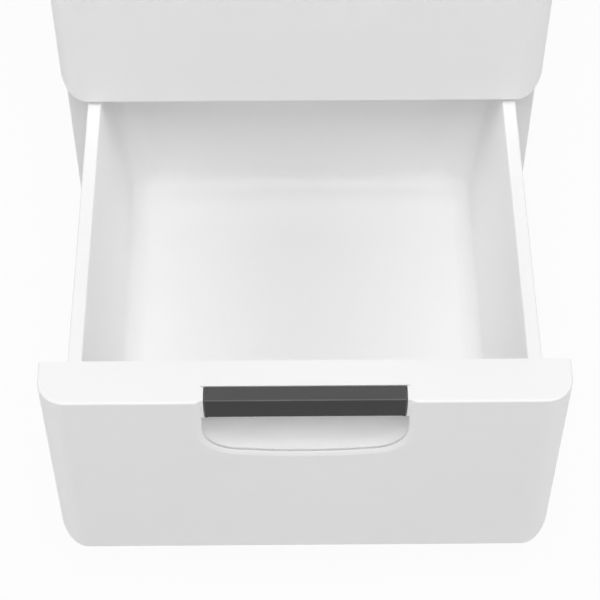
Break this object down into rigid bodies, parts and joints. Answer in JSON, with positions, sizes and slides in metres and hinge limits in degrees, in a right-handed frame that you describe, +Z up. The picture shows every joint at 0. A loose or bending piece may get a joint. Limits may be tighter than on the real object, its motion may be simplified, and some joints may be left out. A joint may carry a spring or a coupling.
{
  "type": "mobile printer stand",
  "caption": "White moulded printer stand on swivel casters, with deep pull-out drawers that open by a recessed finger pocket and a dark bar.",
  "frame": {"origin": "on the floor, under the middle of the footprint with the lower drawer drawn out", "axes": "+Z up, drawers pull out towards -Y, +X to the right of someone facing the drawers"},
  "size_m": [0.4, 0.699, 0.5515],
  "materials": {
    "white_plastic": "moulded satin white",
    "inner_plastic": "moulded matte white",
    "dark_plastic": "satin dark grey",
    "steel": "zinc plated",
    "black_plastic": "moulded black",
    "grey_rubber": "non-marking grey tread",
    "grey_plastic": "moulded grey"
  },
  "bodies": {
    "carcass": {"top_panel": "white_plastic", "base_panel": "white_plastic", "left_side_panel": "white_plastic", "right_side_panel": "white_plastic", "back_panel": "inner_plastic", "mid_rail": "inner_plastic", "lower_left_runner": "inner_plastic", "lower_right_runner": "inner_plastic", "upper_left_runner": "inner_plastic", "upper_right_runner": "inner_plastic", "panel_screws": "steel", "runner_screws": "steel", "back_screws": "steel", "caster_screws": "steel", "caster_kingpins": "steel", "front_left_caster_plate": "steel", "front_right_caster_plate": "steel", "rear_left_caster_plate": "steel", "rear_right_caster_plate": "steel"},
    "lower_drawer": {"lower_front_shell": "white_plastic", "lower_front_liner": "inner_plastic", "lower_finger_cup": "white_plastic", "lower_handle_bar": "dark_plastic", "lower_handle_screws": "steel", "lower_cup_screws": "steel", "lower_tray": "white_plastic", "lower_front_screws": "steel", "lower_glide_shoes": "dark_plastic"},
    "upper_drawer": {"upper_front_shell": "white_plastic", "upper_front_liner": "inner_plastic", "upper_finger_cup": "white_plastic", "upper_handle_bar": "dark_plastic", "upper_handle_screws": "steel", "upper_cup_screws": "steel", "upper_tray": "white_plastic", "upper_front_screws": "steel", "upper_glide_shoes": "dark_plastic"},
    "front_left_swivel": {"front_left_caster_fork": "black_plastic", "front_left_caster_axle": "steel", "front_left_brake_pin": "steel"},
    "front_left_wheel": {"front_left_caster_hub": "black_plastic", "front_left_caster_tyre": "grey_rubber"},
    "front_left_brake": {"front_left_brake_pedal": "grey_plastic"},
    "front_right_swivel": {"front_right_caster_fork": "black_plastic", "front_right_caster_axle": "steel", "front_right_brake_pin": "steel"},
    "front_right_wheel": {"front_right_caster_hub": "black_plastic", "front_right_caster_tyre": "grey_rubber"},
    "front_right_brake": {"front_right_brake_pedal": "grey_plastic"},
    "rear_left_swivel": {"rear_left_caster_fork": "black_plastic", "rear_left_caster_axle": "steel"},
    "rear_left_wheel": {"rear_left_caster_hub": "black_plastic", "rear_left_caster_tyre": "grey_rubber"},
    "rear_right_swivel": {"rear_right_caster_fork": "black_plastic", "rear_right_caster_axle": "steel"},
    "rear_right_wheel": {"rear_right_caster_hub": "black_plastic", "rear_right_caster_tyre": "grey_rubber"}
  },
  "joints": [
    {"name": "lower_drawer_slide", "type": "slide", "parent": "carcass", "child": "lower_drawer", "axis": [0, -1, 0], "range_m": [-0.2985, 0]},
    {"name": "upper_drawer_slide", "type": "slide", "parent": "carcass", "child": "upper_drawer", "axis": [0, -1, 0], "range_m": [0, 0.2985]},
    {"name": "front_left_caster_swivel", "type": "hinge", "parent": "carcass", "child": "front_left_swivel", "pos_m": [-0.154, -0.005, 0.0541], "axis": [0, 0, 1], "continuous": true},
    {"name": "front_left_wheel_spin", "type": "hinge", "parent": "front_left_swivel", "child": "front_left_wheel", "pos_m": [-0.154, -0.025, 0.025], "axis": [1, 0, 0], "continuous": true},
    {"name": "front_left_brake_hinge", "type": "hinge", "parent": "front_left_swivel", "child": "front_left_brake", "pos_m": [-0.154, -0.0415, 0.04946], "axis": [1, 0, 0], "range_deg": [-20, 0]},
    {"name": "front_right_caster_swivel", "type": "hinge", "parent": "carcass", "child": "front_right_swivel", "pos_m": [0.154, -0.005, 0.0541], "axis": [0, 0, 1], "continuous": true},
    {"name": "front_right_wheel_spin", "type": "hinge", "parent": "front_right_swivel", "child": "front_right_wheel", "pos_m": [0.154, -0.025, 0.025], "axis": [1, 0, 0], "continuous": true},
    {"name": "front_right_brake_hinge", "type": "hinge", "parent": "front_right_swivel", "child": "front_right_brake", "pos_m": [0.154, -0.0415, 0.04946], "axis": [1, 0, 0], "range_deg": [-20, 0]},
    {"name": "rear_left_caster_swivel", "type": "hinge", "parent": "carcass", "child": "rear_left_swivel", "pos_m": [-0.154, 0.3035, 0.0541], "axis": [0, 0, 1], "continuous": true},
    {"name": "rear_left_wheel_spin", "type": "hinge", "parent": "rear_left_swivel", "child": "rear_left_wheel", "pos_m": [-0.154, 0.2835, 0.025], "axis": [1, 0, 0], "continuous": true},
    {"name": "rear_right_caster_swivel", "type": "hinge", "parent": "carcass", "child": "rear_right_swivel", "pos_m": [0.154, 0.3035, 0.0541], "axis": [0, 0, 1], "continuous": true},
    {"name": "rear_right_wheel_spin", "type": "hinge", "parent": "rear_right_swivel", "child": "rear_right_wheel", "pos_m": [0.154, 0.2835, 0.025], "axis": [1, 0, 0], "continuous": true}
  ]
}
